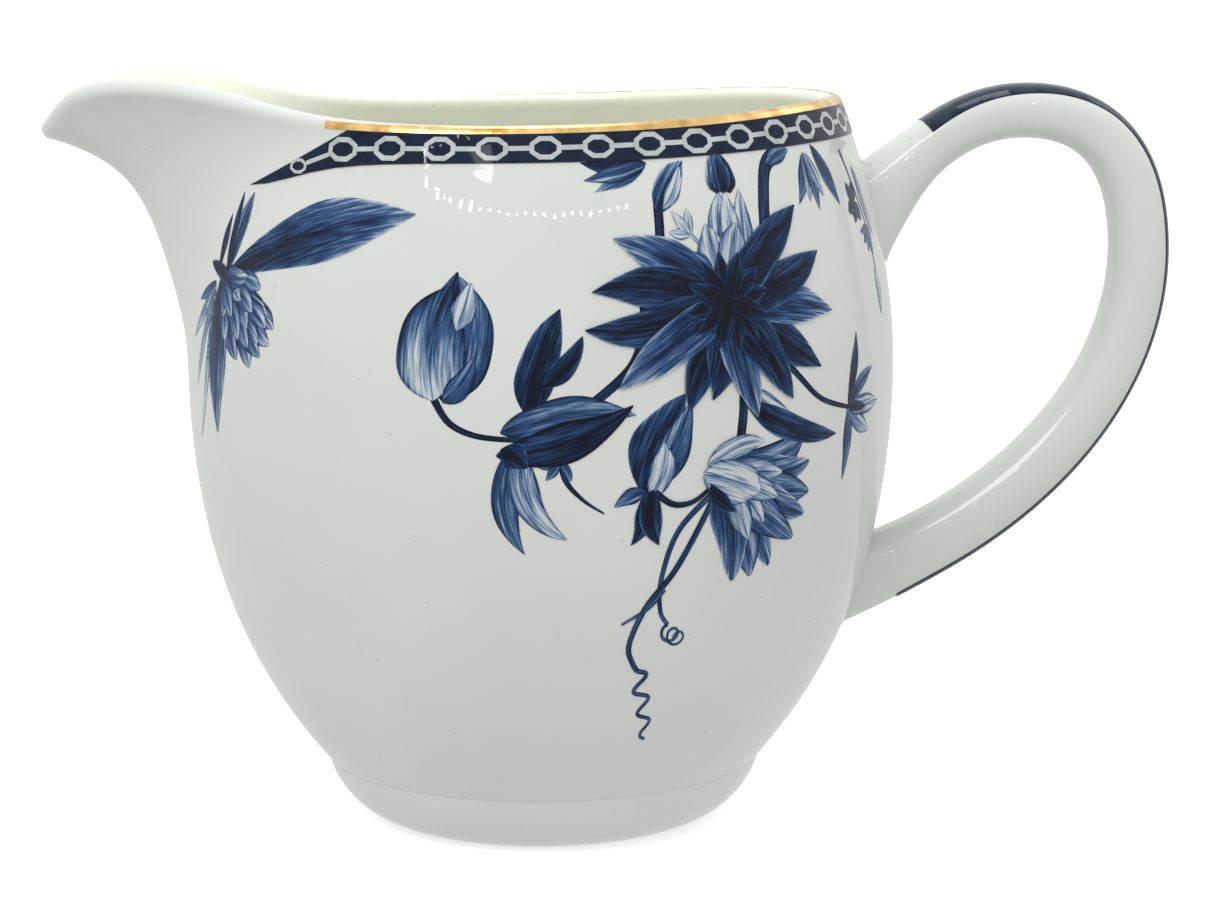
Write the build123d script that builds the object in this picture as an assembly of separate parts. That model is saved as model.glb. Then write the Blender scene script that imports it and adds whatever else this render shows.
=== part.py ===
from build123d import *
import math
import os

# Porcelain cream jug, in millimetres. +Z is up, the foot stands on Z = 0 and the body's axis
# is the Z axis. The spout points along -X and the handle along +X, so Y = 0 is the jug's mirror
# plane. Angles round the body are in degrees from the middle of the spout.

# ---- body profile ----
BELLY_RADIUS = 43.0
BELLY_HEIGHT = 56.0
WAIST_RADIUS = 26.8          # where the foot ring meets the bowl
WAIST_HEIGHT = 7.5
WAIST_STEP = 0.03            # the foot ring stands out this much, so that the two join cleanly
NECK_RADIUS = 36.4           # outside, at the mouth
RIM_HEIGHT = 85.6            # where the outside starts to round over into the rim
BOWL_BEND = 0.266            # share of the radius lost by the square term, belly to waist
WALL = 2.3
FLOOR_TOP = 9.6              # middle of the inner floor
INNER_WALL_END = 17.0        # below this height the inner wall turns into the floor
FLOOR_TURN = 7.0             # how far the wall's slope is carried into that turn
FLOOR_FLAT = 12.0            # radius where the inner floor is level
FLOOR_MIDDLE = 2.0           # radius of the smallest ring, closed by a flat cap

# ---- foot ring ----
FOOT_OUTER = 19.4            # the flat that it stands on, outside and inside radius
FOOT_INNER = 16.4
FOOT_SPREAD = (22.6, 0.6)    # these two pull its outside into a curve: (radius, height)
FOOT_RISE = (25.9, 3.6)
RECESS_RADIUS = 14.6
RECESS_HEIGHT = 4.2
RECESS_DOME = 0.4            # the recess's roof rises this much towards its middle
RECESS_ROUND = 2.6           # how far its corners are rounded

# ---- spout, measured from the plain round body ----
SPOUT_REACH = 22.4           # how far the lip stands out beyond the mouth
SPOUT_HALF_ANGLE = 19.2      # where the reach has fallen to a half, at the rim
SPOUT_POWER = 2.8            # how square-shouldered the spout is, seen from above
SPOUT_START = 57.0           # height where the spout begins to leave the bowl
SPOUT_GROWTH = 1.6           # how late the spout swells, going up
SPOUT_CURL = 0.37            # share of the reach that belongs to the curled lip
CURL_SHARPNESS = 8
SPOUT_NARROWING = 0.56       # half angle low on the spout, as a share of the one at the rim
SPOUT_NARROWING_POWER = 3.5  # how late it widens again
SPOUT_RISE = 4.5             # how far the spout's edge climbs above the mouth
SPOUT_RISE_ANGLE = 28.8
LIP_DROOP = 6.3              # how far the very tip falls below that edge
LIP_DROOP_ANGLE = 8.3
HANDLE_SIDE_RISE = 2.0       # the rim climbs a little towards the handle
HANDLE_SIDE_ANGLE = 60.0
RIM_WAVE_POWER = 4           # how square-shouldered those rises and the droop are
RIM_WAVE_REACH = 3           # how quickly they die out below the rim

# ---- handle ----
HANDLE_WIDTH = 8.4
HANDLE_FLARE = 3.0           # extra width at the two ends
HANDLE_FLARE_SHARE = 0.12    # share of the handle's length that each flare takes
HANDLE_SQUARENESS = 0.86     # 1 is an ellipse, less is a rounder-cornered box
HANDLE_UPPER_END = (38.0, 72.0)    # middle line, as (x, z): inside the wall at the top joint
HANDLE_CREST = (59.5, 86.0)        # highest point
HANDLE_FAR = (74.2, 68.5)          # furthest from the body
HANDLE_LOWER_END = (35.0, 27.0)    # inside the wall at the bottom joint
HANDLE_UPPER_LEAN = 46.0           # degrees above level at which it leaves the body
HANDLE_LOWER_LEAN = 17.0           # and at which it comes back to it
HANDLE_UPPER_PULL = 8.0            # how far each curve keeps the direction of its ends
HANDLE_CREST_PULL = 10.0
HANDLE_FAR_PULL = 11.0
HANDLE_FALL_STRETCH = 1.6          # the long fall keeps it this much further
HANDLE_LOWER_PULL = 25.0
HANDLE_THIN = 6.1                  # thickness after the upper joint
HANDLE_THICK = 8.5                 # and before the lower one
HANDLE_UPPER_ROOT = 6.5            # extra thickness at the upper joint
HANDLE_LOWER_ROOT = 1.5            # and at the lower one
HANDLE_ROOT_SHARE = 0.15           # share of the handle's length that each of them takes
SLIP_GAP = 0.4               # thickness of the slip that joins handle and body
SLIP_SQUEEZE = 0.5           # how far the slip stands out round the handle's end
SLIP_ZONE = 40.0             # wide enough to hold a whole joint

# ---- applied finishes, fired on; their thickness is drawn larger than life ----
SKIN = 0.12
GILT_START = 47.0
GILT_BOTTOM = 0.0            # the gold line runs from here up the outer face of the rounded rim
GILT_TOP = 0.8               # to here, which leaves the crest of the rim white
BAND_START = 30.0
BAND_BOTTOM = 82.6
BAND_DIP = 4.5               # the band runs lower where it meets the spout
BAND_DIP_ANGLE = 42.0
BAND_DIP_POWER = 7
BAND_END_X = -22.0           # its slanted ends start here, under the gold line
BAND_END_TOP = 87.0
BAND_END_SLOPE = 31.0        # degrees at which they fall towards the spout
BAND_END_FALL = 12.0         # more than the band's own depth
BAND_ZONE = 60.0             # wider than the mouth
STRIP_REACH = 1.15
STRIP_TOP = 2.5
STRIPE_START = 0.13          # shares of the handle's length
STRIPE_END = 0.93
STRIPE_WIDTH = 6.0
STRIPE_SWELL = 1.6           # extra width where it starts, near the upper joint
STRIPE_SWELL_SHARE = 0.2     # share of the handle's length over which that dies out
STRIPE_CUT = (0.1, 0.75)     # the block that cuts it, as shares of the handle's thickness

# ---- how finely the curved pieces are sectioned ----
RING_STEPS = 60              # points on each ring of the body
RING_CROWDING = 29.0         # degrees by which those points crowd towards the spout
SIDE_STEPS = 15
RIM_STEPS = 6
FLOOR_STEPS = 7
HANDLE_STEPS = 25
HANDLE_RING_STEPS = 20
STRIP_STEPS = 60


def bell(angle, half_angle, power):
    """A smooth hump: 1 at angle 0, a half at half_angle, falling to 0."""
    return 1.0 / (1.0 + abs(angle / half_angle) ** power)


def signed(angle):
    """The same angle between -180 and 180."""
    return (angle + 180) % 360 - 180


def radial(angle):
    """Level direction away from the axis."""
    turn = math.radians(angle)
    return Vector(-math.cos(turn), -math.sin(turn), 0)


def bowl_radius(height):
    """Outside radius of the plain round body."""
    if height > BELLY_HEIGHT:
        upper = (height - BELLY_HEIGHT) / (RIM_HEIGHT - BELLY_HEIGHT)
        return BELLY_RADIUS - (BELLY_RADIUS - NECK_RADIUS) * upper ** 2
    lower = (BELLY_HEIGHT - height) / (BELLY_HEIGHT - WAIST_HEIGHT)
    loss = 1.0 - WAIST_RADIUS / BELLY_RADIUS
    return BELLY_RADIUS * (1.0 - BOWL_BEND * lower ** 2 - (loss - BOWL_BEND) * lower ** 4)


def spout_climb(height):
    """0 where the spout starts and below, 1 at the rim."""
    return max(0.0, (height - SPOUT_START) / (RIM_HEIGHT - SPOUT_START))


def outer_point(angle, height):
    """Point of the outer surface of bowl and spout."""
    climb = spout_climb(height)
    growth = (1 - SPOUT_CURL) * climb ** SPOUT_GROWTH + SPOUT_CURL * climb ** CURL_SHARPNESS
    narrowing = SPOUT_NARROWING + (1.0 - SPOUT_NARROWING) * climb ** SPOUT_NARROWING_POWER
    bulge = SPOUT_REACH * growth * bell(angle, SPOUT_HALF_ANGLE * narrowing, SPOUT_POWER)
    lift = SPOUT_RISE * bell(angle, SPOUT_RISE_ANGLE, RIM_WAVE_POWER)
    lift -= LIP_DROOP * bell(angle, LIP_DROOP_ANGLE, RIM_WAVE_POWER)
    lift += HANDLE_SIDE_RISE * bell(180 - abs(angle), HANDLE_SIDE_ANGLE, RIM_WAVE_POWER)
    lift *= climb ** RIM_WAVE_REACH
    return radial(angle) * (bowl_radius(height) + bulge) + Vector(0, 0, height + lift)


def surface_directions(angle, height):
    """Outward normal of the outer surface, and the direction up along it."""
    step = 0.05
    along = outer_point(angle + step, height) - outer_point(angle - step, height)
    up = outer_point(angle, height) - outer_point(angle, height - step)
    return along.cross(up).normalized(), up.normalized()


def ring_angles():
    """Angles for the points of a ring, closer together round the spout."""
    turns = [step / RING_STEPS for step in range(RING_STEPS)]
    return [signed(360 * turn - RING_CROWDING * math.sin(2 * math.pi * turn)) for turn in turns]


def ring(points):
    """Closed smooth curve through points spaced evenly in its parameter."""
    steps = [index / len(points) for index in range(len(points) + 1)]
    return Wire([Edge.make_spline(points, periodic=True, parameters=steps)])


def wall_ring(height, depth, lean=0.0):
    """Ring at a depth inside the outer surface, moved up along it by lean."""
    points = []
    for angle in ring_angles():
        normal, up = surface_directions(angle, height)
        points.append(outer_point(angle, height) - normal * depth + up * lean)
    return ring(points)


def level_ring(radius, height):
    """Plain round ring, with its points at the same angles as the others."""
    return ring([radial(angle) * radius + Vector(0, 0, height) for angle in ring_angles()])


def side_heights(start, stop):
    """Heights for the body's rings, closer together towards the lip."""
    rise = stop - start
    return [start + rise * math.sin(math.pi / 2 * step / SIDE_STEPS) for step in range(SIDE_STEPS + 1)]


def rim_rings(puff):
    """Half a turn over the rim, from the outer surface to the inner one."""
    middle = WALL / 2
    reach = middle + puff
    turns = [math.pi * step / RIM_STEPS for step in range(1, RIM_STEPS)]
    return [wall_ring(RIM_HEIGHT, middle - reach * math.cos(turn), reach * math.sin(turn)) for turn in turns]


def floor_rings(puff):
    """Rings that round the inner wall into the floor."""
    normal, up = surface_directions(180, INNER_WALL_END)
    start = outer_point(180, INNER_WALL_END) - normal * WALL
    turn = start - up * FLOOR_TURN
    corners = [(start.X, start.Z), (turn.X, turn.Z), (FLOOR_FLAT, FLOOR_TOP), (FLOOR_MIDDLE, FLOOR_TOP)]
    rings = []
    for step in range(1, FLOOR_STEPS + 1):
        share = step / FLOOR_STEPS
        rest = 1 - share
        weights = (rest ** 3, 3 * share * rest ** 2, 3 * share ** 2 * rest, share ** 3)
        radius = sum(weight * corner[0] for weight, corner in zip(weights, corners))
        height = sum(weight * corner[1] for weight, corner in zip(weights, corners))
        rings.append(level_ring(radius, height + puff))
    return rings


def make_bowl(puff=0.0):
    """Bowl, mouth and spout as one closed shell, from the waist up, thickened all over by puff."""
    outside = [wall_ring(height, -puff) for height in side_heights(WAIST_HEIGHT, RIM_HEIGHT)]
    heights = side_heights(INNER_WALL_END, RIM_HEIGHT)[::-1]
    inside = [wall_ring(height, WALL + puff) for height in heights]
    return Solid.make_loft(outside + rim_rings(puff) + inside + floor_rings(puff))


def make_foot():
    """Foot ring and the base under the bowl, turned about the axis."""
    waist = (WAIST_RADIUS + WAIST_STEP, WAIST_HEIGHT)
    roof = RECESS_HEIGHT + RECESS_DOME
    inner_round = RECESS_RADIUS - RECESS_ROUND
    recess_wall = (RECESS_RADIUS, RECESS_ROUND)
    outline = [
        Line((FOOT_INNER, 0), (FOOT_OUTER, 0)),
        Bezier((FOOT_OUTER, 0), FOOT_SPREAD, FOOT_RISE, waist),
        Line(waist, (0, WAIST_HEIGHT)),
        Line((0, WAIST_HEIGHT), (0, roof)),
        Bezier((0, roof), (inner_round, roof), (RECESS_RADIUS, RECESS_HEIGHT), recess_wall),
        Bezier(recess_wall, (RECESS_RADIUS, RECESS_ROUND / 2), (RECESS_RADIUS, 0), (FOOT_INNER, 0)),
    ]
    return revolve(Plane.XZ * make_face(outline), Axis.Z, 360)


def make_body():
    """Bowl and foot, cast in one."""
    return (make_bowl() + make_foot()).solid()


def leaning(degrees, length):
    """Step of a length in the jug's mirror plane, at an angle above level."""
    lean = math.radians(degrees)
    return Vector(math.cos(lean), 0, math.sin(lean)) * length


def handle_line():
    """Middle line of the handle: up to the crest, over to the far side and down to the lower joint."""
    start = Vector(HANDLE_UPPER_END[0], 0, HANDLE_UPPER_END[1])
    crest = Vector(HANDLE_CREST[0], 0, HANDLE_CREST[1])
    far = Vector(HANDLE_FAR[0], 0, HANDLE_FAR[1])
    end = Vector(HANDLE_LOWER_END[0], 0, HANDLE_LOWER_END[1])
    level = Vector(HANDLE_CREST_PULL, 0, 0)
    upright = Vector(0, 0, HANDLE_FAR_PULL)
    leaving = start + leaning(HANDLE_UPPER_LEAN, HANDLE_UPPER_PULL)
    returning = end + leaning(HANDLE_LOWER_LEAN, HANDLE_LOWER_PULL)
    rise = Edge.make_bezier(start, leaving, crest - level, crest)
    shoulder = Edge.make_bezier(crest, crest + level, far + upright, far)
    fall = Edge.make_bezier(far, far - upright * HANDLE_FALL_STRETCH, returning, end)
    return Wire([rise, shoulder, fall])


def root_swell(share, length):
    """1 at either end of the handle, falling to 0 over a share of its length."""
    return max(0.0, 1 - min(share, 1 - share) / length) ** 2


def handle_thickness(share):
    """Thickness at a share of the handle's length."""
    root = HANDLE_UPPER_ROOT if share < 0.5 else HANDLE_LOWER_ROOT
    plain = HANDLE_THIN + (HANDLE_THICK - HANDLE_THIN) * share
    return plain + root * root_swell(share, HANDLE_ROOT_SHARE)


def handle_width(share):
    """Width, growing at the two ends."""
    return HANDLE_WIDTH + HANDLE_FLARE * root_swell(share, HANDLE_FLARE_SHARE)


def handle_frame(line, share):
    """Middle point of the handle's section and its outward direction."""
    return line.position_at(share), line.tangent_at(share).cross(Vector(0, 1, 0))


def rounded(value):
    """Sine or cosine value bent towards a box with round corners."""
    return math.copysign(abs(value) ** HANDLE_SQUARENESS, value)


def handle_ring(line, share, puff):
    """Rounded section of the handle."""
    middle, out = handle_frame(line, share)
    half_thickness = handle_thickness(share) / 2 + puff
    half_width = handle_width(share) / 2 + puff
    points = []
    for step in range(HANDLE_RING_STEPS):
        turn = 2 * math.pi * step / HANDLE_RING_STEPS
        sideways = Vector(0, rounded(math.sin(turn)) * half_width, 0)
        points.append(middle + out * (rounded(math.cos(turn)) * half_thickness) + sideways)
    return ring(points)


def make_loop(puff=0.0):
    """The whole handle before its ends are cut to the body."""
    line = handle_line()
    return Solid.make_loft([handle_ring(line, step / HANDLE_STEPS, puff) for step in range(HANDLE_STEPS + 1)])


def largest(shape):
    """The biggest solid of a shape."""
    return sorted(shape.solids(), key=lambda solid: solid.volume)[-1]


def make_handle(loop, lined_bowl):
    """The loop outside the body, short of it by the thickness of the slip."""
    return largest(loop - lined_bowl)


def make_slip(lined_bowl, body, lower, upper):
    """The slip between body and one end of the handle, between two heights."""
    middle = (lower + upper) / 2
    zone = Pos(HANDLE_UPPER_END[0], 0, middle) * Box(SLIP_ZONE, SLIP_ZONE, upper - lower)
    return largest((make_loop(SLIP_SQUEEZE) & zone & lined_bowl) - body)


def block_section(low, high, side):
    """Four-cornered section of a cutting block."""
    return Wire.make_polygon([low - side, low + side, high + side, high - side], close=True)


def rim_block(start, edge, top=STRIP_TOP):
    """Closed strip round the rim, from one side of the spout to the other, to cut a finish to shape.

    edge gives the strip's lower edge at an angle, as (height, lift); top is its upper edge's lift."""
    sections = []
    for step in range(STRIP_STEPS + 1):
        angle = signed(start + (360 - 2 * start) * step / STRIP_STEPS)
        height, lift = edge(angle)
        low = outer_point(angle, height) + Vector(0, 0, lift)
        high = outer_point(angle, RIM_HEIGHT) + Vector(0, 0, top)
        sections.append(block_section(low, high, radial(angle) * STRIP_REACH))
    return Solid.make_loft(sections, ruled=True)


def gilt_bottom(angle):
    """Lower edge of the gold line."""
    return RIM_HEIGHT, GILT_BOTTOM


def band_edge(angle):
    """Lower edge of the border band."""
    return BAND_BOTTOM - BAND_DIP * bell(angle, BAND_DIP_ANGLE, BAND_DIP_POWER), 0


def make_gilt(skin, body):
    """Gold line round the outer face of the rounded rim, with the white crest above it."""
    return largest((rim_block(GILT_START, gilt_bottom, GILT_TOP) & skin) - body)


def make_band(skin, body):
    """Dark band under the gold line, cut off along the spout's flanks."""
    low = BAND_END_TOP - BAND_END_FALL
    high = BAND_END_TOP + BAND_END_FALL
    tip = BAND_END_X - BAND_END_FALL / math.tan(math.radians(BAND_END_SLOPE))
    slanted_end = [(BAND_END_X, high), (BAND_END_X, BAND_END_TOP), (tip, low)]
    outline = Polyline(slanted_end + [(BAND_ZONE, low), (BAND_ZONE, high), slanted_end[0]])
    between = extrude(Plane.XZ * make_face(outline), BAND_ZONE, both=True)
    block = rim_block(BAND_START, band_edge) - rim_block(BAND_START, gilt_bottom)
    return largest((block & between & skin) - body)


def stripe_half_width(share):
    """Half the stripe's width at a share of the handle's length."""
    swell = max(0.0, 1 - (share - STRIPE_START) / STRIPE_SWELL_SHARE)
    return (STRIPE_WIDTH + STRIPE_SWELL * swell) / 2


def make_stripe(loop):
    """Painted stripe along the handle's outer face."""
    line = handle_line()
    sections = []
    for step in range(HANDLE_STEPS + 1):
        share = STRIPE_START + (STRIPE_END - STRIPE_START) * step / HANDLE_STEPS
        middle, out = handle_frame(line, share)
        low, high = (middle + out * (handle_thickness(share) * depth) for depth in STRIPE_CUT)
        sections.append(block_section(low, high, Vector(0, stripe_half_width(share), 0)))
    return largest((Solid.make_loft(sections, ruled=True) & make_loop(SKIN)) - loop)


def main():
    """Make every piece and write it out."""
    body = make_body()
    loop = make_loop()
    lined_bowl = make_bowl(SLIP_GAP)
    skin = make_bowl(SKIN)
    pieces = {
        "jug_body": body,
        "handle": make_handle(loop, lined_bowl),
        "slip_joint_upper": make_slip(lined_bowl, body, BELLY_HEIGHT, RIM_HEIGHT),
        "slip_joint_lower": make_slip(lined_bowl, body, WAIST_HEIGHT, BELLY_HEIGHT),
        "gilt_rim_line": make_gilt(skin, body),
        "rim_border_band": make_band(skin, body),
        "handle_stripe": make_stripe(loop),
    }
    os.makedirs("parts", exist_ok=True)
    for name, piece in pieces.items():
        export_step(piece, f"parts/{name}.step")


main()
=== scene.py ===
import math
import random

import bpy
from mathutils import Matrix, Vector
from mathutils.bvhtree import BVHTree
from mathutils.geometry import barycentric_transform


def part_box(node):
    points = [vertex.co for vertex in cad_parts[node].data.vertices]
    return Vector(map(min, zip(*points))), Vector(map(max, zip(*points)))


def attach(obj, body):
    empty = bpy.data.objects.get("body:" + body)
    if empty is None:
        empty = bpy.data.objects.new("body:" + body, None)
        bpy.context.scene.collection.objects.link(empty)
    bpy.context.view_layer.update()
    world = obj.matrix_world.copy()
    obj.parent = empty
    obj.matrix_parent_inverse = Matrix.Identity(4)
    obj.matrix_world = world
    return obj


# Porcelain cream jug. The spout points along -X, the handle along +X, and the jug stands on Z = 0.
# Lengths are in metres, apart from the painted decoration, which is laid out in millimetres.

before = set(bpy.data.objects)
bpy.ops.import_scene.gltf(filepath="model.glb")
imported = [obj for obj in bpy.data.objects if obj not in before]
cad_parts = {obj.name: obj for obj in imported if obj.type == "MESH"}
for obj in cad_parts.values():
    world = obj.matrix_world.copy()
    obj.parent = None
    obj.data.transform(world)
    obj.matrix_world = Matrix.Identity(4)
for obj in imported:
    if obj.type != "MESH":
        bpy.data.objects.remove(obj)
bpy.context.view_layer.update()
MM = 0.001

# ---------------------------------------------------------------- camera

VIEW_AZIMUTH = math.radians(-5.1)
VIEW_ELEVATION = math.radians(9.2)
VIEW_ROLL = math.radians(-0.2)
VIEW_DISTANCE = 0.392
VIEW_RIGHT = 0.0080
VIEW_HEIGHT = 0.0445
LENS = 94.34
SENSOR_WIDTH = 36
NEAREST_SEEN = 0.01


def make_camera():
    """Camera at the photograph's viewing angle."""
    ahead = Vector((
        -math.sin(VIEW_AZIMUTH) * math.cos(VIEW_ELEVATION),
        math.cos(VIEW_AZIMUTH) * math.cos(VIEW_ELEVATION),
        -math.sin(VIEW_ELEVATION),
    ))
    right = Vector((math.cos(VIEW_AZIMUTH), math.sin(VIEW_AZIMUTH), 0))
    up = right.cross(ahead)
    place = Vector((0, 0, VIEW_HEIGHT)) + right * VIEW_RIGHT - ahead * VIEW_DISTANCE
    across = right * math.cos(VIEW_ROLL) + up * math.sin(VIEW_ROLL)
    upright = up * math.cos(VIEW_ROLL) - right * math.sin(VIEW_ROLL)
    data = bpy.data.cameras.new("camera")
    data.lens = LENS
    data.sensor_width = SENSOR_WIDTH
    data.clip_start = NEAREST_SEEN
    camera = bpy.data.objects.new("camera", data)
    bpy.context.scene.collection.objects.link(camera)
    camera.matrix_world = Matrix((
        (across.x, upright.x, -ahead.x, place.x),
        (across.y, upright.y, -ahead.y, place.y),
        (across.z, upright.z, -ahead.z, place.z),
        (0, 0, 0, 1),
    ))
    bpy.context.scene.camera = camera


make_camera()

# ---------------------------------------------------------------- light and floor

FLOOR_HALF = 3.0
FLOOR_WHITE = 0.97
FLOOR_ROUGHNESS = 0.9
FLOOR_GLOW = 0.35
DOME_RADIUS = 3.5
DOME_RINGS = 8
DOME_STEPS = 24
DOME_ROUGHNESS = 0.5
DOME_GLOW = 1.05
SKY_STRENGTH = 1.25
SKY_TONES = ((0.20, 0.64), (0.48, 0.62), (0.60, 0.78), (0.80, 0.95))    # from straight down to overhead
KEY_POWER = 1.5
RIM_POWER = 0.3
MOUTH_POWER = 0.6
LAMP_POWER = 0.006           # one of an arc of small lamps, mirrored on the shoulder
LAMP_SIZE = (0.009, 0.006)
LAMP_COUNT = 23
LAMP_START = -44.0           # degrees from the jug's side towards the handle
LAMP_PITCH = 3.2
LAMP_REACH = 0.64
LAMP_HEIGHT = 0.41


def area_light(name, place, target, size, power):
    """Soft light panel aimed at a point."""
    data = bpy.data.lights.new(name, "AREA")
    data.shape = "RECTANGLE"
    data.size, data.size_y = size
    data.energy = power
    light = bpy.data.objects.new(name, data)
    bpy.context.scene.collection.objects.link(light)
    light.location = place
    light.rotation_euler = (Vector(target) - Vector(place)).to_track_quat("-Z", "Y").to_euler()


def staging(name, points, faces, tone, roughness, glow):
    """Plain surface round the jug, whose white light the jug neither catches nor mirrors."""
    mesh = bpy.data.meshes.new(name)
    mesh.from_pydata(points, [], faces)
    thing = bpy.data.objects.new(name, mesh)
    bpy.context.scene.collection.objects.link(thing)
    thing.visible_diffuse = thing.visible_glossy = False
    material = bpy.data.materials.new(name)
    material.use_nodes = True
    shader = material.node_tree.nodes["Principled BSDF"]
    shader.inputs["Base Color"].default_value = (tone, tone, tone, 1)
    shader.inputs["Roughness"].default_value = roughness
    shader.inputs["Emission Color"].default_value = (1, 1, 1, 1)
    shader.inputs["Emission Strength"].default_value = glow
    mesh.materials.append(material)
    return thing


def make_floor():
    """Plain white floor that neither lights the jug from below nor whitens its lower edges."""
    half = FLOOR_HALF
    corners = [(-half, -half, 0), (half, -half, 0), (half, half, 0), (-half, half, 0)]
    staging("floor", corners, [(0, 1, 2, 3)], FLOOR_WHITE, FLOOR_ROUGHNESS, FLOOR_GLOW)


def white_dome():
    """White surroundings that only the eye sees, so that the jug's edges mirror the softer studio."""
    points, faces = [], []
    for ring in range(DOME_RINGS + 1):
        climb = math.pi * (ring / DOME_RINGS - 0.5)
        level, height = DOME_RADIUS * math.cos(climb), DOME_RADIUS * math.sin(climb)
        for step in range(DOME_STEPS):
            turn = 2 * math.pi * step / DOME_STEPS
            points.append((level * math.cos(turn), level * math.sin(turn), height))
    for ring in range(DOME_RINGS):
        for step in range(DOME_STEPS):
            first = ring * DOME_STEPS + step
            second = ring * DOME_STEPS + (step + 1) % DOME_STEPS
            faces.append((first, second, second + DOME_STEPS, first + DOME_STEPS))
    dome = staging("dome", points, faces, 0, DOME_ROUGHNESS, DOME_GLOW)
    dome.visible_shadow = False


def make_world():
    """Studio light: bright above, softer at the horizon, greyer below."""
    world = bpy.data.worlds.new("world")
    world.use_nodes = True
    nodes, links = world.node_tree.nodes, world.node_tree.links
    where = nodes.new("ShaderNodeTexCoord")
    split = nodes.new("ShaderNodeSeparateXYZ")
    height = nodes.new("ShaderNodeMapRange")
    height.inputs["From Min"].default_value = -1.0
    ramp = nodes.new("ShaderNodeValToRGB")
    elements = ramp.color_ramp.elements
    while len(elements) < len(SKY_TONES):
        elements.new(0.5)
    for element, (place, tone) in zip(elements, SKY_TONES):
        element.position = place
        element.color = (tone, tone, tone, 1)
    links.new(where.outputs["Generated"], split.inputs[0])
    links.new(split.outputs["Z"], height.inputs["Value"])
    links.new(height.outputs["Result"], ramp.inputs["Fac"])
    links.new(ramp.outputs["Color"], nodes["Background"].inputs["Color"])
    nodes["Background"].inputs["Strength"].default_value = SKY_STRENGTH
    bpy.context.scene.world = world


bpy.context.scene.view_settings.view_transform = "Standard"
make_world()
white_dome()
make_floor()
area_light("key", place=(-0.35, -0.5, 0.6), target=(0, 0, 0.05), size=(0.35, 0.25), power=KEY_POWER)
area_light("rim", place=(0.6, 0.3, 0.5), target=(0, 0, 0.05), size=(0.3, 0.3), power=RIM_POWER)
for lamp in range(LAMP_COUNT):
    bearing = math.radians(LAMP_START + LAMP_PITCH * lamp)
    spot = (LAMP_REACH * math.sin(bearing), -LAMP_REACH * math.cos(bearing), LAMP_HEIGHT)
    area_light(f"lamp_{lamp}", place=spot, target=(0, 0, 0.07), size=LAMP_SIZE, power=LAMP_POWER)
area_light("mouth", place=(0, 0.1, 0.6), target=(0, 0, 0.08), size=(0.2, 0.2), power=MOUTH_POWER)

# ---------------------------------------------------------------- materials


class Shading:
    """A node material, with short ways to add and join nodes."""

    def __init__(self, name):
        self.material = bpy.data.materials.new(name)
        self.material.use_nodes = True
        self.nodes = self.material.node_tree.nodes
        self.links = self.material.node_tree.links
        self.shader = self.nodes["Principled BSDF"]

    def feed(self, socket, value):
        """Join an input to another node's output, or set it to a plain value."""
        if isinstance(value, bpy.types.NodeSocket):
            self.links.new(value, socket)
        else:
            socket.default_value = value

    def node(self, kind, **settings):
        """New node, with its inputs set or joined by name."""
        made = self.nodes.new("ShaderNode" + kind)
        for name, value in settings.items():
            self.feed(made.inputs[name], value)
        return made

    def noise(self, scale, detail=2.0, vector=None):
        """Noise in metres of the object, or along a given vector."""
        if vector is None:
            vector = self.node("TexCoord").outputs["Object"]
        return self.node("TexNoise", Scale=scale, Detail=detail, Vector=vector).outputs["Fac"]

    def ramp(self, factor, *stops):
        """Colour ramp from (place, colour) stops."""
        made = self.node("ValToRGB", Fac=factor)
        elements = made.color_ramp.elements
        while len(elements) < len(stops):
            elements.new(0.5)
        for element, (place, colour) in zip(elements, stops):
            element.position = place
            element.color = (*colour, 1)
        return made.outputs["Color"]

    def mix(self, factor, first, second):
        """Colour mixed from first to second."""
        made = self.nodes.new("ShaderNodeMix")
        made.data_type = "RGBA"
        for index, value in ((0, factor), (6, first), (7, second)):
            self.feed(made.inputs[index], value)
        return made.outputs[2]

    def math(self, operation, first, second):
        """Result of one sum on two values."""
        made = self.nodes.new("ShaderNodeMath")
        made.operation = operation
        self.feed(made.inputs[0], first)
        self.feed(made.inputs[1], second)
        return made.outputs[0]

    def finish(self, colour, roughness, ripple_scale, ripple_depth):
        """Join the colour and a fine ripple to the shader, and set its roughness."""
        self.links.new(colour, self.shader.inputs["Base Color"])
        self.shader.inputs["Roughness"].default_value = roughness
        height = self.noise(ripple_scale)
        bump = self.node("Bump", Height=height, Distance=ripple_depth)
        self.links.new(bump.outputs["Normal"], self.shader.inputs["Normal"])
        return self.material


GLAZE_ROUGHNESS = 0.035
PRINT_SHEEN = 0.18           # the dense print mirrors less of the white studio than bare glaze
GLAZE_RIPPLE = 60.0
GLAZE_RIPPLE_DEPTH = 0.00004
CLOUD_SCALE = 35.0
SPECK_SCALE = 900.0
SPECK_STRENGTH = 0.35
SPECK_COLOUR = (0.42, 0.41, 0.36, 1)
FACING_START = 0.004         # where the inside's painted light, a lighter and warmer colour, starts and is full, as the distance from the axis times how far the surface faces away from it
FACING_FULL = -0.012         # the axis times how far the surface faces away from it
GOLD_MOTTLE = 400.0
GOLD_ROUGHNESS = 0.24
GOLD_RIPPLE = 500.0
GOLD_RIPPLE_DEPTH = 0.00005
PRINT_MOTTLE = 700.0
STREAK_SCALE = (0.25, 3.6, 1.0)    # along a stroke, across it, and unused
STREAK_STRENGTH = 1.35


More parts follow.
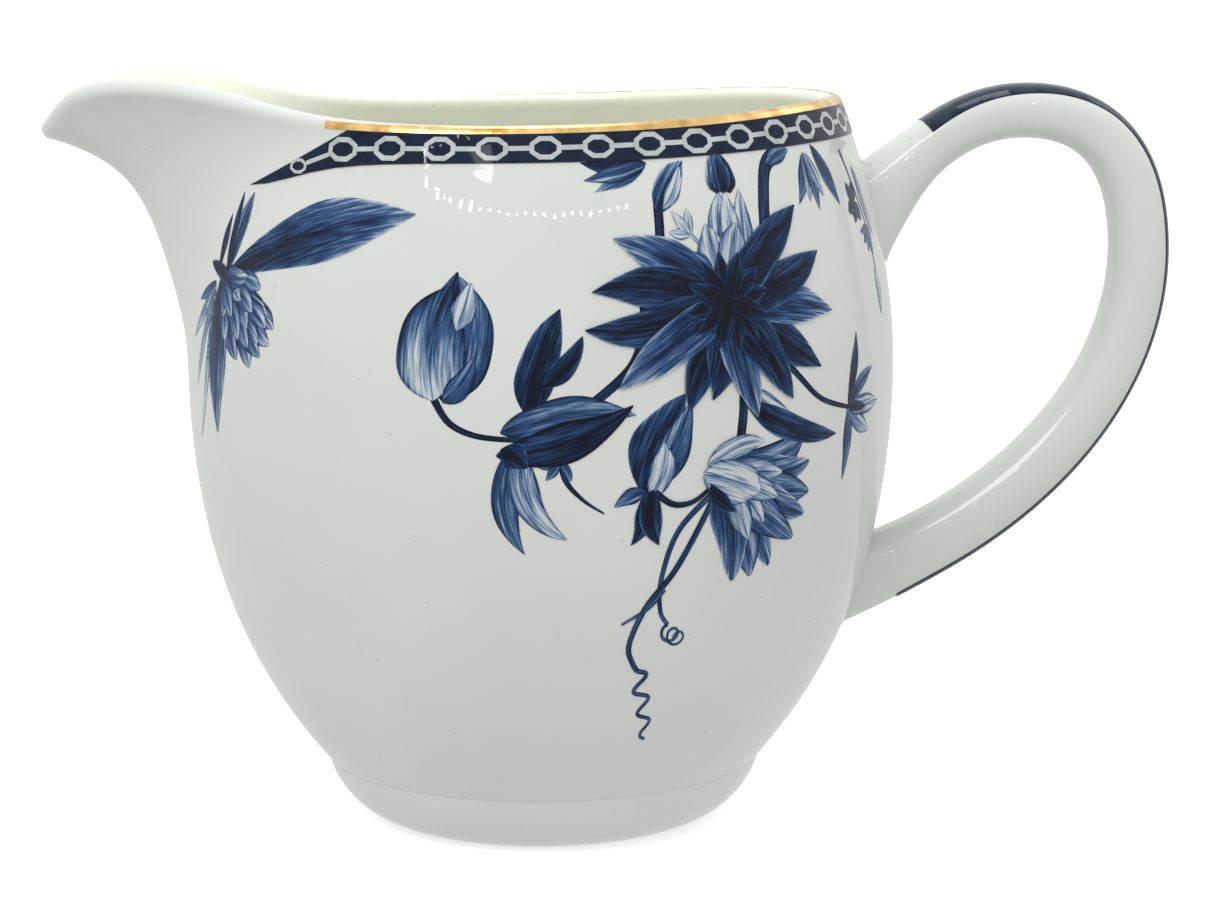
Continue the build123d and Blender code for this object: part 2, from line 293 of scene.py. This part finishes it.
def facing_axis(work):
    """1 where a surface faces the jug's axis, 0 where it faces away."""
    geometry = work.node("NewGeometry")
    level = work.nodes.new("ShaderNodeVectorMath")
    level.operation = "MULTIPLY"
    work.links.new(geometry.outputs["Position"], level.inputs[0])
    level.inputs[1].default_value = (1, 1, 0)
    facing = work.nodes.new("ShaderNodeVectorMath")
    facing.operation = "DOT_PRODUCT"
    work.links.new(level.outputs[0], facing.inputs[0])
    work.links.new(geometry.outputs["Normal"], facing.inputs[1])
    inside = work.node("MapRange", Value=facing.outputs["Value"])
    inside.inputs["From Min"].default_value = FACING_START
    inside.inputs["From Max"].default_value = FACING_FULL
    return inside.outputs["Result"]


def porcelain(name, painted_light_inside):
    """Cool white glaze with faint clouding and a few pin-prick specks, painted lighter and warmer inside
    the jug as painted light for the light inside its mouth.
    """
    work = Shading(name)
    cloud = work.noise(CLOUD_SCALE, 4.0)
    colour = work.ramp(cloud, (0.35, (0.565, 0.59, 0.558)), (0.65, (0.60, 0.622, 0.59)))
    # painted light: the inside is coloured lighter and warmer than the glaze outside, standing in for the
    # light inside the mouth
    if painted_light_inside:
        inner = work.ramp(cloud, (0.35, (0.71, 0.725, 0.62)), (0.65, (0.75, 0.765, 0.66)))
        colour = work.mix(facing_axis(work), colour, inner)
    speck = work.ramp(work.noise(SPECK_SCALE, 0.0), (0.84, (0, 0, 0)), (0.87, (1, 1, 1)))
    colour = work.mix(work.math("MULTIPLY", speck, SPECK_STRENGTH), colour, SPECK_COLOUR)
    return work.finish(colour, GLAZE_ROUGHNESS, GLAZE_RIPPLE, GLAZE_RIPPLE_DEPTH)


def gold():
    """Burnished gold line, a little uneven in tone."""
    work = Shading("gold")
    colour = work.ramp(work.noise(GOLD_MOTTLE, 3.0), (0.3, (0.50, 0.30, 0.09)), (0.7, (0.83, 0.60, 0.27)))
    work.shader.inputs["Metallic"].default_value = 1.0
    return work.finish(colour, GOLD_ROUGHNESS, GOLD_RIPPLE, GOLD_RIPPLE_DEPTH)


def dark_print(name, deep, light):
    """Dense printed colour under the glaze, with a fine mottle."""
    work = Shading(name)
    colour = work.ramp(work.noise(PRINT_MOTTLE, 5.0), (0.35, deep), (0.75, light))
    work.shader.inputs["Specular IOR Level"].default_value = PRINT_SHEEN
    return work.finish(colour, GLAZE_ROUGHNESS, GLAZE_RIPPLE, GLAZE_RIPPLE_DEPTH)


def brushwork():
    """Transfer blue from near black to a pale wash, set by each stroke's ink and streaked along it."""
    work = Shading("brushwork")
    along = work.node("Mapping", Vector=work.node("TexCoord").outputs["UV"])
    along.inputs["Scale"].default_value = STREAK_SCALE
    streak = work.noise(1.0, 4.0, along.outputs["Vector"])
    ink = work.nodes.new("ShaderNodeAttribute")
    ink.attribute_name = "ink"
    worn = work.math("MULTIPLY", work.math("SUBTRACT", streak, 0.5), STREAK_STRENGTH)
    strength = work.math("ADD", ink.outputs["Fac"], worn)
    colour = work.ramp(
        strength,
        (0.02, (0.50, 0.54, 0.55)),
        (0.26, (0.18, 0.25, 0.36)),
        (0.48, (0.028, 0.080, 0.19)),
        (0.74, (0.005, 0.022, 0.070)),
        (1.0, (0.001, 0.003, 0.012)),
    )
    work.shader.inputs["Specular IOR Level"].default_value = PRINT_SHEEN
    return work.finish(colour, GLAZE_ROUGHNESS, GLAZE_RIPPLE, GLAZE_RIPPLE_DEPTH)


def dress(node, material):
    """Give a CAD node its finish."""
    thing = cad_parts[node]
    thing.data.materials.clear()
    thing.data.materials.append(material)


# the body's glaze carries the painted light inside its mouth
dress("jug_body", porcelain("body_glaze", True))
HANDLE_GLAZE = porcelain("handle_glaze", False)
for node in ("handle", "slip_joint_upper", "slip_joint_lower"):
    dress(node, HANDLE_GLAZE)
dress("gilt_rim_line", gold())
dress("rim_border_band", dark_print("band_print", (0.002, 0.006, 0.020), (0.006, 0.017, 0.045)))
dress("handle_stripe", dark_print("stripe_paint", (0.008, 0.015, 0.030), (0.022, 0.038, 0.062)))
BRUSHWORK = brushwork()
CHAIN_PRINT = dark_print("chain_print", (0.36, 0.40, 0.40), (0.50, 0.53, 0.52))

# ---------------------------------------------------------------- laying decoration on the jug

# The decoration is laid out flat, as (x, z) in millimetres: x runs round the belly towards the
# handle from the middle of the jug's side, z is the height. It is then pressed onto the surface.

BELLY_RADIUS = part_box("jug_body")[1][1] / MM
OUTSIDE = 4 * BELLY_RADIUS   # a distance from the axis that is clear of the jug on every side
FILM = 0.03                  # how far the first stroke stands off the surface
LAYER = 0.018                # how much further each later layer does
DROP = 0.4                   # the sprays hang this much lower than they are laid out


class Surface:
    """Outside of some CAD nodes, with smooth normals."""

    def __init__(self, *names):
        points, self.normals, triangles = [], [], []
        for name in names:
            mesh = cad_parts[name].data
            mesh.calc_loop_triangles()
            start = len(points)
            points += [vertex.co.copy() for vertex in mesh.vertices]
            corner_normals = mesh.corner_normals
            for triangle in mesh.loop_triangles:
                triangles.append([start + index for index in triangle.vertices])
                self.normals.append([corner_normals[loop].vector.copy() for loop in triangle.loops])
        self.points, self.triangles = points, triangles
        self.tree = BVHTree.FromPolygons(points, triangles)

    def strike(self, x, z):
        """Ray from outside straight towards the axis, no further, at a point of the flat layout."""
        turn = x / BELLY_RADIUS - math.pi / 2
        out = Vector((math.cos(turn), math.sin(turn), 0))
        start = out * (OUTSIDE * MM) + Vector((0, 0, z * MM))
        return self.tree.ray_cast(start, -out, OUTSIDE * MM)

    def covers(self, x, z):
        """True if these nodes lie at that point of the layout."""
        return self.strike(x, z)[0] is not None

    def press(self, x, z, layer):
        """Place and normal on the surface for a point of the flat layout."""
        hit, _, index, _ = self.strike(x, z)
        if hit is None:
            raise ValueError(f"nothing to print on at {x:.1f}, {z:.1f}")
        corners = [self.points[number] for number in self.triangles[index]]
        normal = barycentric_transform(hit, *corners, *self.normals[index]).normalized()
        return hit + normal * ((FILM + LAYER * layer) * MM), normal


class Film:
    """One decal mesh, gathered from many strokes."""

    def __init__(self, name, surface, material, shift=0.0, drop=0.0, lift=0):
        self.name, self.surface, self.material = name, surface, material
        self.shift, self.drop, self.lift = shift, drop, lift
        self.points, self.normals, self.faces, self.inks, self.maps = [], [], [], [], []

    def sheet(self, rows, inks, marks, layer):
        """Add a grid of layout points, with ink and brush coordinates for each."""
        start, width = len(self.points), len(rows[0])
        for row, ink_row, mark_row in zip(rows, inks, marks):
            for (x, z), ink, mark in zip(row, ink_row, mark_row):
                place, normal = self.surface.press(x + self.shift, z - self.drop, layer + self.lift)
                self.points.append(place)
                self.normals.append(normal)
                self.inks.append(ink)
                self.maps.append(mark)
        for row in range(len(rows) - 1):
            for column in range(width - 1):
                corner = start + row * width + column
                self.faces.append((corner, corner + width, corner + width + 1, corner + 1))

    def build(self):
        """Make the piece and let it ride on the jug."""
        mesh = bpy.data.meshes.new(self.name)
        mesh.from_pydata(self.points, [], self.faces)
        ink = mesh.attributes.new("ink", "FLOAT", "POINT")
        ink.data.foreach_set("value", self.inks)
        layout = mesh.uv_layers.new(name="brush")
        for loop in mesh.loops:
            layout.data[loop.index].uv = self.maps[loop.vertex_index]
        mesh.shade_smooth()
        mesh.normals_split_custom_set_from_vertices(self.normals)
        mesh.materials.append(self.material)
        piece = bpy.data.objects.new(self.name, mesh)
        bpy.context.scene.collection.objects.link(piece)
        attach(piece, "root")


# ---------------------------------------------------------------- strokes

STROKE_STEP = 0.5            # between the rows of a leaf
LEAF_COLUMNS = 11
LEAF_CURL = 0.07             # the most that a tip curls to one side, as a share of the leaf's length
LEAF_WAVER = 0.07            # how much a leaf's width wavers
DARK_RIM = 0.42              # extra ink along the edge of a pale petal
PALE_RIM = -0.38             # and of a dark one, so that it stands off its neighbours
MIDRIB_INK = 0.18
GLINT_INK = 0.16             # taken off along a line between the midrib and one edge
GLINT_PLACE = 0.45
GLINT_WIDTH = 0.22
EDGE_INK = 0.15              # extra ink along both edges of a stem
INK_PITCH = 0.6              # brush length laid down from one row of a stem to the next
STEM_STEPS = 8               # between two points of a stem
COIL_STEPS = 18              # in one turn of a coil
WAVE_STEPS = 12              # in one wave of a tendril
chance = random.Random(7)


def bent(start, end, bend, share):
    """Point and unit direction at a share of a curve that bows sideways by bend times its length."""
    across = (start[1] - end[1], end[0] - start[0])
    middle = [(start[axis] + end[axis]) / 2 + across[axis] * bend for axis in (0, 1)]
    rest = 1 - share
    place = [
        rest * rest * start[axis] + 2 * rest * share * middle[axis] + share * share * end[axis]
        for axis in (0, 1)
    ]
    way = [rest * (middle[axis] - start[axis]) + share * (end[axis] - middle[axis]) for axis in (0, 1)]
    size = math.hypot(*way)
    return place, (way[0] / size, way[1] / size)


def leaf_ink(share, side, tone):
    """Ink at a share of a leaf's length, and at a side of it from -1 to 1."""
    rim_ink = PALE_RIM if tone[0] > 0.8 else DARK_RIM
    ink = tone[0] + (tone[1] - tone[0]) * share
    ink += rim_ink * abs(side) ** 6 + MIDRIB_INK * max(0.0, 1 - abs(side) * 4)
    return ink - GLINT_INK * math.exp(-((side - GLINT_PLACE) / GLINT_WIDTH) ** 2)


def leaf(film, start, end, width, bend=0.0, tone=(0.9, 0.5), fullness=0.9, layer=0, point=0.85):
    """Petal or leaf from base to tip, its ink changing along it.

    It is widest nearer its base where fullness is under 1, and an oval where point is 0.5.
    """
    length = math.dist(start, end)
    steps = max(8, round(length / STROKE_STEP))
    wave = chance.uniform(0, 6)
    curl = chance.uniform(-LEAF_CURL, LEAF_CURL) * length
    offset = chance.uniform(0, 500)
    rows, inks, marks = [], [], []
    for step in range(steps + 1):
        share = step / steps
        (x, z), way = bent(start, end, bend, share)
        x, z = x - way[1] * curl * share ** 4, z + way[0] * curl * share ** 4
        half = width / 2 * max(0.02, math.sin(math.pi * share ** fullness)) ** point
        half *= 1 + LEAF_WAVER * math.sin(9 * share + wave)
        sides = [2 * column / (LEAF_COLUMNS - 1) - 1 for column in range(LEAF_COLUMNS)]
        rows.append([(x - way[1] * side * half, z + way[0] * side * half) for side in sides])
        inks.append([leaf_ink(share, side, tone) for side in sides])
        marks.append([(offset + share * length, offset + side * half) for side in sides])
    film.sheet(rows, inks, marks, layer)


def between(before, first, second, after, t):
    """Coordinate of a smooth curve at t, from 0 at first to 1 at second."""
    square = 2 * before - 5 * first + 4 * second - after
    cube = 3 * first - before - 3 * second + after
    return 0.5 * (2 * first + (second - before) * t + square * t * t + cube * t ** 3)


def smooth_line(points, steps):
    """Evenly stepped smooth curve through a few points."""
    ends = [points[0]] + list(points) + [points[-1]]
    line = []
    for index in range(1, len(ends) - 2):
        for step in range(steps):
            line.append(tuple(between(*near, step / steps) for near in zip(*ends[index - 1:index + 3])))
    return line + [tuple(points[-1])]


def ribbon(film, line, width, tone, layer, taper):
    """Narrow stroke along a line, thinner towards its end."""
    offset = chance.uniform(0, 500)
    rows, inks, marks = [], [], []
    for index, (x, z) in enumerate(line):
        before, after = line[max(0, index - 1)], line[min(len(line) - 1, index + 1)]
        size = math.dist(before, after) or 1.0
        way = ((after[0] - before[0]) / size, (after[1] - before[1]) / size)
        half = width / 2 * (1 - taper * index / (len(line) - 1))
        sides = (-1, 0, 1)
        rows.append([(x - way[1] * side * half, z + way[0] * side * half) for side in sides])
        inks.append([tone + EDGE_INK * abs(side) for side in sides])
        marks.append([(offset + index * INK_PITCH, offset + side * half) for side in sides])
    film.sheet(rows, inks, marks, layer)


def stem(film, points, width, tone=0.75, layer=0, taper=0.4):
    """Stem through a few points."""
    ribbon(film, smooth_line(points, STEM_STEPS), width, tone, layer, taper)


def away(start, degrees, length):
    """Point at a distance and direction from another, level being 0."""
    turn = math.radians(degrees)
    return start[0] + math.cos(turn) * length, start[1] + math.sin(turn) * length


# ---------------------------------------------------------------- plants

# Ink at the base and at the tip of a stroke.
DARK = (1.05, 0.78)
DEEP = (0.90, 0.42)
MID = (0.62, 0.40)
WASH = (0.40, 0.12)
PALE = (0.22, 0.05)

SCALE_LENGTH = 5.0           # each scale of the cone flower
CONE_ROWS = ((12.5, 4, 14), (10.5, 5, 24), (8, 5, 34), (5.5, 4, 44))    # reach, scales, spread in degrees


def star_flower(film, heart, petals, reach, stretch, first, last):
    """Open flower seen from the front, over a paler ring of petals.

    Its petals run from the first to the last angle, and stretch more to the sides.
    """
    for index in range(petals):
        turn = 360 * (index + 0.5) / petals + chance.uniform(-5, 5)
        tip = away(heart, turn, reach * 0.82)
        leaf(film, away(heart, turn, 2), tip, 4.2, chance.uniform(-0.1, 0.1), WASH, 0.9, index % 3)
    for index in range(petals):
        turn = first + (last - first) * index / (petals - 1) + chance.uniform(-5, 5)
        length = reach + stretch * abs(math.cos(math.radians(turn))) + chance.uniform(-1, 1)
        tone = DARK if index % 3 else DEEP
        tip = away(heart, turn, length)
        leaf(film, heart, tip, 5.0, chance.uniform(-0.12, 0.12), tone, 0.8, 3 + index % 4)
    for index in range(petals):
        turn = 360 * (index + 0.3) / petals
        leaf(film, heart, away(heart, turn, reach * 0.52), 2.4, 0.05, (1.25, 0.82), 0.9, 7 + index % 3)


def fan_flower(film, foot):
    """Half-open flower seen from the side, hanging open to one side, with a pale bud over its foot."""
    petals = 8
    for index in range(petals):
        share = index / (petals - 1)
        length = 12.5 + 1.5 * math.sin(math.pi * share)
        tone = DEEP if index % 2 else MID
        tip = away(foot, 14 - 92 * share, length)
        leaf(film, foot, tip, 5.0, -0.10 + 0.2 * share, tone, 0.72, index % 5, 0.62)
    for index in range(4):
        leaf(film, foot, away(foot, -2 - 20 * index, 8.5), 3.6, 0.1, WASH, 0.8, 5 + index % 2, 0.7)
    leaf(film, away(foot, 140, 2.5), away(foot, 35, 7), 2.6, 0.15, PALE, 0.9, 7)
    leaf(film, away(foot, 165, 2.4), away(foot, -22, 5.6), 5.2, 0.07, PALE, 1.0, 8, 0.55)
    leaf(film, away(foot, 200, 1.5), away(foot, -60, 4.5), 1.8, -0.2, DARK, 0.9, 9)


def tulip_bud(film, foot, height):
    """Closed bud: a full pale-bellied petal in front, darker ones behind it."""
    x, z = foot
    leaf(film, (x + 1.5, z), (x + 3.5, z + height * 0.97), 7.0, -0.16, MID, 0.85, 0)
    leaf(film, (x + 1.0, z), (x + 2.5, z + height), 5.5, 0.10, DARK, 0.9, 1)
    leaf(film, foot, (x + 1.5, z + height * 0.9), 8.5, 0.16, (0.05, 0.79), 0.8, 2)
    leaf(film, (x + 2.6, z + height * 0.55), (x + 3.8, z + height * 0.92), 2.8, -0.1, PALE, 0.9, 3)
    leaf(film, (x + 1.0, z - 0.2), (x + 4.6, z + height * 0.34), 2.6, -0.2, MID, 0.8, 4)


def cone_flower(film, foot, direction):
    """Tight head of short rounded scales in rows, narrower towards its tip."""
    for row, (reach, scales, spread) in enumerate(CONE_ROWS):
        for index in range(scales):
            turn = direction + spread * (2 * index / (scales - 1) - 1) + chance.uniform(-3, 3)
            end = reach + chance.uniform(-0.6, 0.6)
            root, tip = away(foot, turn, end - SCALE_LENGTH), away(foot, turn, end)
            bend = chance.uniform(-0.15, 0.15)
            leaf(film, root, tip, 2.8, bend, (0.80, 0.15), 0.8, 2 * row + index % 2, 0.65)


def drooping_bell(film, top, drop):
    """Small hanging flower of four petals."""
    for index, (lean, tone) in enumerate(((-118, MID), (-102, WASH), (-84, MID), (-68, WASH))):
        leaf(film, top, away(top, lean, drop - index % 2), 1.9, 0.08, tone, 0.75, index)


def sprig(film, points, leaf_length, leaf_width, tone, layer=0):
    """Fine stem with a pair of small leaves at each inner point and one at its end."""
    stem(film, points, 0.6, tone[0], layer)
    for index, place in enumerate(points[1:], 1):
        before = points[index - 1]
        heading = math.degrees(math.atan2(place[1] - before[1], place[0] - before[0]))
        for lean in (-42, 42):
            tip = away(place, heading + lean, leaf_length)
            leaf(film, place, tip, leaf_width, 0.08, tone, 0.85, layer + 1)
    tip = away(points[-1], heading, leaf_length * 1.2)
    leaf(film, points[-1], tip, leaf_width, 0.0, tone, 0.85, layer + 2)


def coil(film, start, size, turns, width, tone):
    """Curled end of a tendril, drifting downwards to one side."""
    line = []
    steps = round(COIL_STEPS * turns)
    for step in range(steps + 1):
        turn = 2 * math.pi * turns * step / steps
        drift = size * 0.9 * turns * step / steps
        x = start[0] + drift - size * math.sin(turn)
        z = start[1] - drift * 0.6 + size * (math.cos(turn) - 1)
        line.append((x, z))
    ribbon(film, line, width, tone, 2, 0.4)


def wavy_tendril(film, start, end, waves, swing, width, tone):
    """Tendril that winds from side to side, less and less."""
    line = []
    steps = WAVE_STEPS * waves
    for step in range(steps + 1):
        share = step / steps
        (x, z), way = bent(start, end, 0, share)
        side = swing * (1 - 0.35 * share) * math.sin(2 * math.pi * waves * share)
        line.append((x - way[1] * side, z + way[0] * side))
    ribbon(film, line, width, tone, 1, 0.3)


# ---------------------------------------------------------------- the sprays round the jug


def spout_spray(film):
    """Long leaf, blades and a cone flower that spring from a knot by the spout."""
    knot = (-47.5, 69.5)
    leaf(film, knot, (-18.5, 79), 6.5, 0.03, (1.0, 0.45), 1.15, 2)
    leaf(film, knot, (-43.5, 79), 2.4, 0.03, DEEP, 1.0, 1)
    leaf(film, knot, (-45.5, 79), 1.2, 0.05, DARK, 1.0, 2)
    leaf(film, (-49.6, 69.6), (-48, 76.5), 1.2, -0.03, DARK, 1.0, 1)
    leaf(film, (-48, 70.2), (-50, 51), 4.6, 0.02, (1.0, 0.45), 0.95, 3)
    blades = (
        ((-54.5, 66), MID),
        ((-57, 61), WASH),
        ((-56.5, 56), WASH),
        ((-54.5, 49), PALE),
        ((-52, 58), MID),
    )
    for tip, tone in blades:
        leaf(film, (-50, 68.5), tip, 1.3, 0.08, tone, 0.9, 0)
    cone_flower(film, (-47.8, 69.6), -42)
    leaf(film, (-51.2, 70.6), (-45.6, 68.4), 1.8, 0.05, DARK, 0.9, 8)


def bud_and_leaves(film):
    """Tulip bud whose stem runs into a cluster of twisted leaves."""
    tulip_bud(film, (-15, 57.5), 14)
    stem(film, [(-15, 57.7), (-13.2, 55), (-10, 53.6), (-5, 53.2)], 0.9, 0.8)
    leaf(film, (-4.5, 56), (-0.8, 67.5), 4.6, 0.08, DARK, 0.8, 1)
    leaf(film, (-3, 59), (1.8, 64.5), 2.4, -0.15, (1.0, 0.8), 0.9, 2)
    leaf(film, (-7.5, 54), (7.5, 56.5), 4.2, 0.10, MID, 0.8, 3)
    leaf(film, (-8, 51.5), (7.5, 56.3), 4.4, -0.12, (0.75, 0.95), 0.8, 4)
    leaf(film, (-5, 53), (-5.5, 40), 3.2, -0.30, MID, 0.8, 2)
    leaf(film, (-5, 52.5), (-0.5, 41.5), 3.4, -0.34, WASH, 0.8, 3)
    leaf(film, (-7.5, 52.2), (-4.5, 50.2), 3.0, 0.1, DARK, 0.9, 5)
    stem(film, [(-1, 53), (-0.5, 49), (1.5, 46.5), (4, 44.8)], 0.9, 0.8, 1, 0.8)
    for turn in (150, 190, 230, 300):
        leaf(film, (-1, 50.8), away((-1, 50.8), turn, 2.6), 1.1, 0.1, MID, 0.9, 2)


def upper_flowers(film):
    """Buds, stems and small flowers that hang from under the border band."""
    petals = (((2, 82.8), DARK), ((3.6, 80.4), DEEP), ((2.4, 81.4), MID))
    for layer, (tip, tone) in enumerate(petals):
        leaf(film, (10.5, 83), tip, 1.9, 0.06, tone, 0.8, layer)
    leaf(film, (11.3, 77.5), (15.5, 83), 3.4, 0.14, DEEP, 0.9, 1)
    leaf(film, (12, 78), (15, 82.5), 1.8, -0.1, PALE, 0.9, 2)
    stem(film, [(11.4, 78.5), (11, 73.5), (9, 70), (8.6, 65.5), (7, 61), (1.5, 56.3)], 1.2, 0.82, 0, 0.1)
    sprig(film, [(17.6, 72.6), (15.2, 75.2)], 2.8, 1.2, PALE, 3)
    bud = ((19.6, 20.1, DEEP), (21.6, 20.9, DARK), (20.6, 20.4, (1.0, 0.5)))
    for layer, (base, tip, tone) in enumerate(bud):
        leaf(film, (base, 79.4), (tip, 84), 2.8, 0.04, tone, 0.7, 3 + layer)
    pale_petals = ((18.8, WASH), (22.4, WASH), (20.6, PALE))
    for layer, (base, tone) in enumerate(pale_petals):
        leaf(film, (base, 70.5), (base + 0.5, 79.8), 2.8, 0.03, tone, 1.1, layer)
    stem(film, [(30.5, 83.5), (28, 82), (26.6, 78.5), (25.8, 74.5)], 1.9, 0.72, 0, 0.1)
    leaf(film, (28.2, 82.3), (33, 83.8), 2.2, 0.1, MID, 0.9, 2)
    drooping_bell(film, (36, 83.2), 6.5)
    leaf(film, (38.2, 84), (42, 77), 2.4, 0.06, DEEP, 0.9, 2)


def main_flower(film):
    """The big open flower."""
    star_flower(film, (19.3, 67.6), petals=12, reach=10.8, stretch=6.0, first=150, last=400)


def side_sprig(film):
    """Curved leaf and a flowering sprig at the big flower's side."""
    knot = (38.5, 54)
    stem(film, [(26, 61.5), (29, 58.6), (33, 55.6), knot], 0.9, 0.8, 0)
    leaf(film, (38.5, 54.5), (40.8, 62.5), 1.7, -0.08, DARK, 0.9, 1)
    leaf(film, knot, (45, 58), 2.0, 0.12, DEEP, 0.9, 1)
    leaf(film, knot, (47, 54.2), 2.6, -0.05, WASH, 0.8, 2)
    leaf(film, knot, (43, 53.8), 1.4, 0.0, DARK, 0.9, 3)
    leaf(film, knot, (44.5, 50.5), 2.4, -0.1, WASH, 0.8, 1)
    leaf(film, knot, (38, 45.5), 1.8, 0.1, MID, 0.8, 1)
    leaf(film, (20.5, 57), (36, 51.5), 3.2, -0.17, (0.95, 0.75), 0.95, 2)
    leaf(film, (21, 58), (29, 53.2), 2.8, -0.08, PALE, 0.9, 1)


def lower_flower(film):
    """Fan flower and a folded leaf, with stems and tendrils that run down under them."""
    stem(film, [(20.8, 59), (20.7, 55), (20.3, 51.5)], 1.2, 0.8, 0, 0.0)
    fan_flower(film, (18, 48))
    leaf(film, (8.5, 47), (13.6, 57.5), 6.0, 0.16, (0.95, 0.70), 0.85, 1)
    leaf(film, (9.2, 46.8), (13.4, 57), 4.0, -0.10, MID, 0.9, 2)
    leaf(film, (9.4, 46.6), (11, 52.5), 3.2, -0.14, PALE, 0.8, 3)
    leaf(film, (8.8, 47.3), (7.6, 40.8), 2.4, 0.18, DARK, 0.8, 4)
    leaf(film, (9.6, 47.3), (10.4, 40.8), 2.8, -0.18, (1.05, 0.8), 0.8, 5)
    leaf(film, (8.8, 47.2), (5.2, 45.4), 1.8, -0.15, MID, 0.8, 4)
    stem(film, [(9.8, 47), (12, 45.5), (14.5, 45.6), (17, 47.3)], 0.8, 0.85, 5)
    stem(film, [(17.5, 46.8), (13, 42.5), (11.2, 37), (11.4, 33), (12.6, 31.2)], 0.8, 0.6, 0)
    stem(film, [(17, 45.5), (13, 38), (9.5, 33.5), (7.8, 29), (8.6, 26.6), (9.4, 25.6)], 0.8, 0.65, 2, 0.2)
    stem(film, [(11.6, 35.6), (9.8, 33.4), (6.6, 31.6)], 0.7, 0.55, 4, 0.6)
    coil(film, (12.6, 31.2), 0.9, 2.2, 0.4, 0.6)
    wavy_tendril(film, (9.4, 25.6), (12.4, 16.5), 3, 1.1, 0.6, 0.6)


def handle_sprigs(film):
    """Small trailing sprigs beside the handle."""
    stem(film, [(46.5, 83), (48.2, 78), (49.6, 73), (50, 68)], 0.5, 0.45, 0)
    for turn in (60, 120, 200, 250, 300):
        leaf(film, (46.6, 77), away((46.6, 77), turn, 2.6), 1.7, 0.08, (1.0, 0.8), 0.9, 1)
    for tip, tone in (((50.8, 75.5), WASH), ((51.8, 72.5), PALE), ((50.4, 63.5), PALE)):
        leaf(film, (49.4, tip[1] + 5.5), tip, 1.7, 0.08, tone, 0.9, 1)
    for turn in (190, 215, 240, 265):
        leaf(film, (50, 74), away((50, 74), turn, 3.4), 1.1, 0.06, MID, 0.8, 2)


# ---------------------------------------------------------------- ring chain on the border band

RINGS_PER_TURN = 40
RING_PITCH = 360 / RINGS_PER_TURN
FIRST_RING = 33.0            # degrees from the middle of the spout
RING_OUTER = (2.05, 1.45)    # half width and half height
RING_LINE = 0.60
BAR_WIDTH = 0.52
RING_SIDES = 8
SIDE_STEPS = 3               # each side is laid in this many pieces, so that it follows the surface
BAND_STEP = 0.1              # between the heights at which the band is looked for
RING_ROOM = 0.90             # share of the band's depth that a ring may take
SMALLEST_RING = 0.35         # the band's pointed ends have no ring under this size


def band_middle(x, band):
    """Middle height of the band's face at x, and the share of a whole ring's size that fits there."""
    low, high = (corner[2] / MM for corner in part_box("rim_border_band"))
    heights = [low + BAND_STEP * index for index in range(int((high - low) / BAND_STEP))]
    covered = [height for height in heights if band.covers(x, height)]
    if not covered:
        return 0.0, 0.0
    room = (covered[-1] - covered[0]) / 2
    return (covered[0] + covered[-1]) / 2, min(1.0, room * RING_ROOM / RING_OUTER[1])


def lay_chain(film, rows, layer):
    """Add rows of three points in plain colour, with no brushwork."""
    film.sheet(rows, [[0.0] * 3] * len(rows), [[(0.0, 0.0)] * 3] * len(rows), layer)


def chain_ring(film, place, squash):
    """Eight-sided pale ring, smaller where the band is too narrow for a whole one."""
    x, z, fit = place
    rows = []
    for step in range(RING_SIDES * SIDE_STEPS + 1):
        side, part = divmod(step, SIDE_STEPS)
        corners = []
        for corner in (side, side + 1):
            turn = 2 * math.pi * (corner + 0.5) / RING_SIDES
            corners.append((math.cos(turn), math.sin(turn)))
        edge = [a + (b - a) * part / SIDE_STEPS for a, b in zip(*corners)]
        row = []
        for inset in (0.0, 0.5, 1.0):
            half = [(size - RING_LINE * inset) * fit for size in RING_OUTER]
            row.append((x + edge[0] * half[0] * squash, z + edge[1] * half[1]))
        rows.append(row)
    lay_chain(film, rows, 1)


def chain_bar(film, start, end, squash):
    """Bar that joins two rings."""
    gap = (RING_OUTER[0] - RING_LINE / 2) * squash
    first, last = start[0] + gap * start[2], end[0] - gap * end[2]
    rows = []
    for share in (0.0, 0.25, 0.5, 0.75, 1.0):
        x = first + (last - first) * share
        z = start[1] + (end[1] - start[1]) * (x - start[0]) / (end[0] - start[0])
        rows.append([(x, z - BAR_WIDTH / 2), (x, z), (x, z + BAR_WIDTH / 2)])
    lay_chain(film, rows, 0)


def ring_chain(film, band):
    """The chain from one side of the spout round to the other, along the middle of the band."""
    squash = BELLY_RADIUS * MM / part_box("rim_border_band")[1][1]
    count = int((360 - 2 * FIRST_RING) // RING_PITCH) + 1
    places = []
    for index in range(count):
        x = math.radians(FIRST_RING + RING_PITCH * index - 90) * BELLY_RADIUS
        middle, fit = band_middle(x, band)
        if fit >= SMALLEST_RING:
            places.append((x, middle, fit))
    for place in places:
        chain_ring(film, place, squash)
    for first, second in zip(places, places[1:]):
        chain_bar(film, first, second, squash)


# ---------------------------------------------------------------- all the decoration

SPRAYS = {
    "spout_spray": spout_spray,
    "bud_and_leaves": bud_and_leaves,
    "upper_flowers": upper_flowers,
    "main_flower": main_flower,
    "side_sprig": side_sprig,
    "lower_flower": lower_flower,
    "handle_sprigs": handle_sprigs,
}
LIFTS = {"main_flower": 6}    # layers by which a spray clears the stems that pass behind it


def decorate():
    """Print the sprays on both sides of the jug and the chain on its band."""
    body = Surface("jug_body")
    band = Surface("rim_border_band")
    half_turn = math.pi * BELLY_RADIUS
    for side, shift in (("near", 0.0), ("far", half_turn)):
        for name, draw in SPRAYS.items():
            film = Film(f"{name}_{side}", body, BRUSHWORK, shift, DROP, LIFTS.get(name, 0))
            draw(film)
            film.build()
    chain = Film("ring_chain", Surface("jug_body", "rim_border_band"), CHAIN_PRINT)
    ring_chain(chain, band)
    chain.build()


decorate()
